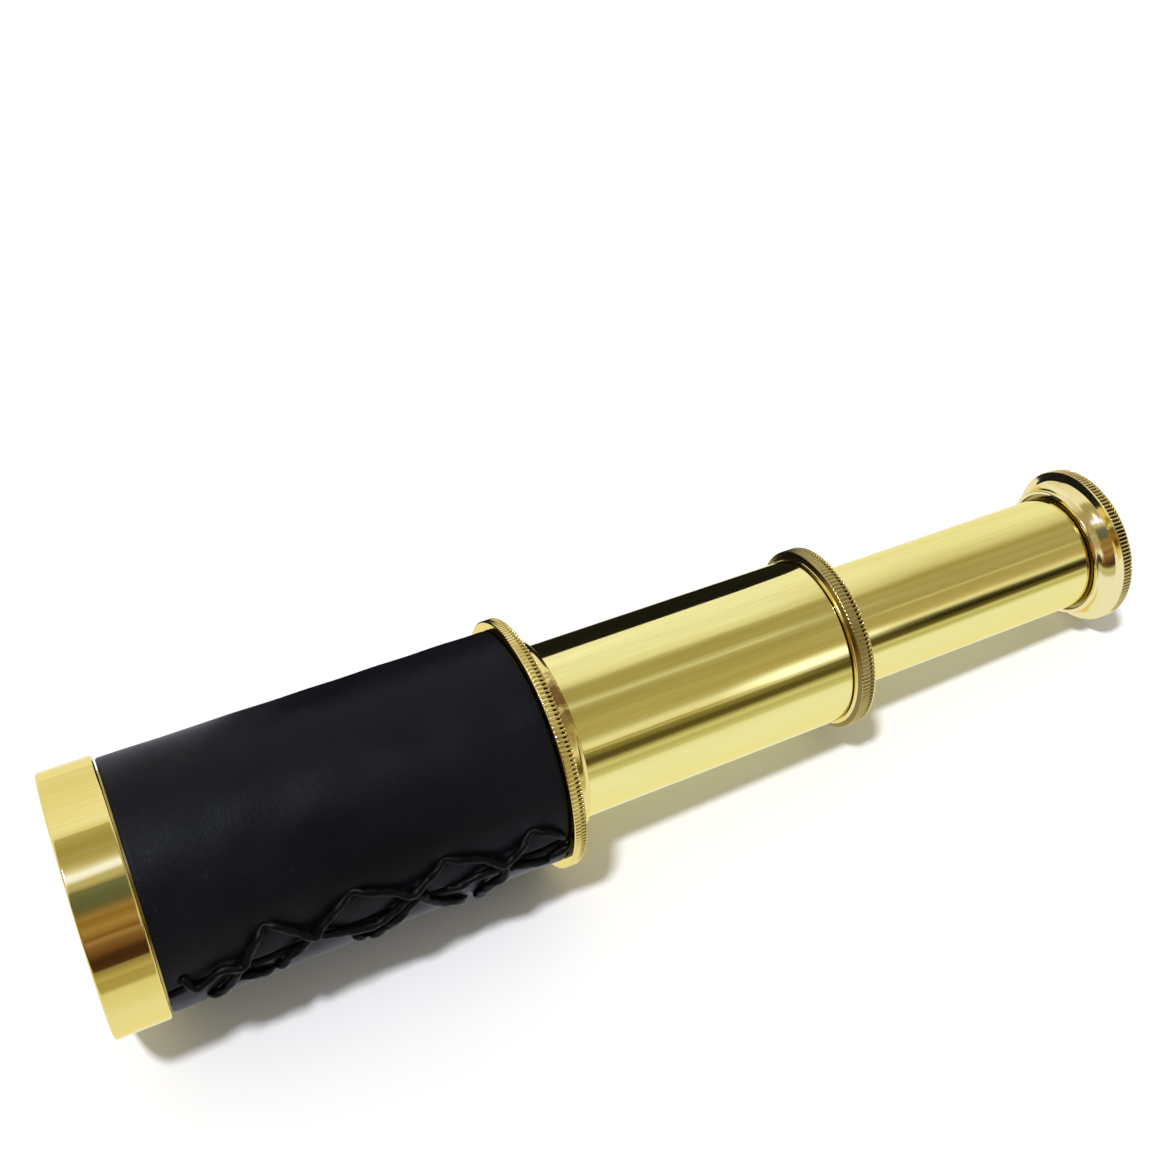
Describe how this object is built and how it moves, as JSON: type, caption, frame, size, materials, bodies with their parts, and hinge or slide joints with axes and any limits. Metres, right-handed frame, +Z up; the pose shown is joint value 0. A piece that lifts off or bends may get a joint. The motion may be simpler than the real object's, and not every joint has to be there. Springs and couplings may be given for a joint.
{
  "type": "kaleidoscope",
  "caption": "Pocket draw-tube kaleidoscope: laced leather barrel, sliding and turning brass draws, knurled collars, mirror prism and flared eyecup.",
  "frame": {"origin": "on the optical axis, midway between the objective end face and the eyecup rim with both draws pulled out", "axes": "+X along the optical axis from the objective end to the eyepiece, +Z up, -Y the side the leather is laced on"},
  "size_m": [0.1524, 0.0342, 0.0342],
  "materials": {
    "brass_polished": "polished, fine lengthwise scratches",
    "brass_knurled": "polished, straight knurl, darkened in the grooves",
    "brass_inner": "as turned",
    "leather": "black, fine grain, satin",
    "cord": "waxed",
    "felt": "felted",
    "black_card": "matt black",
    "glass": "polished",
    "mirror": "front-surface silvered"
  },
  "bodies": {
    "barrel": {"barrel_tube": "brass_inner", "leather_sleeve": "leather", "lacing_cord": "cord"},
    "objective_end": {"objective_cell": "brass_polished", "objective_lens": "glass", "objective_lens_ring": "brass_inner"},
    "barrel_collar": {"barrel_collar": "brass_knurled", "barrel_felt_liner": "felt"},
    "middle_stop": {"middle_stop_ring": "brass_inner"},
    "middle_draw": {"middle_draw_tube": "brass_polished"},
    "middle_collar": {"middle_collar": "brass_knurled", "middle_felt_liner": "felt"},
    "eye_stop": {"eye_stop_ring": "brass_inner"},
    "eye_draw": {"eye_draw_tube": "brass_polished", "prism_front_washer": "brass_inner", "prism_front_glass": "glass", "prism_sleeve": "black_card", "prism_rear_disc": "black_card", "mirror_1": "mirror", "mirror_2": "mirror", "mirror_3": "mirror", "mirror_pad_1": "felt", "mirror_pad_2": "felt", "mirror_pad_3": "felt"},
    "eye_end": {"eyecup": "brass_knurled", "eye_lens": "glass", "eye_lens_ring": "brass_inner"}
  },
  "joints": [
    {"name": "objective_cell_screw", "type": "hinge", "parent": "barrel", "child": "objective_end", "pos_m": [-0.0707, 0, 0], "axis": [-1, 0, 0], "range_deg": [0, 360]},
    {"name": "barrel_collar_screw", "type": "hinge", "parent": "barrel", "child": "barrel_collar", "pos_m": [-0.0212, 0, 0], "axis": [1, 0, 0], "range_deg": [0, 360]},
    {"name": "middle_draw_slide", "type": "slide", "parent": "barrel", "child": "middle_stop", "axis": [1, 0, 0], "range_m": [-0.0403, 0]},
    {"name": "middle_draw_turn", "type": "hinge", "parent": "middle_stop", "child": "middle_draw", "pos_m": [-0.028, 0, 0], "axis": [1, 0, 0], "continuous": true},
    {"name": "middle_collar_screw", "type": "hinge", "parent": "middle_draw", "child": "middle_collar", "pos_m": [0.0233, 0, 0], "axis": [1, 0, 0], "range_deg": [0, 360]},
    {"name": "eye_draw_slide", "type": "slide", "parent": "middle_draw", "child": "eye_stop", "axis": [1, 0, 0], "range_m": [-0.0413, 0]},
    {"name": "eye_draw_turn", "type": "hinge", "parent": "eye_stop", "child": "eye_draw", "pos_m": [0.0164, 0, 0], "axis": [1, 0, 0], "continuous": true},
    {"name": "eyecup_screw", "type": "hinge", "parent": "eye_draw", "child": "eye_end", "pos_m": [0.0693, 0, 0], "axis": [1, 0, 0], "range_deg": [0, 360]}
  ]
}
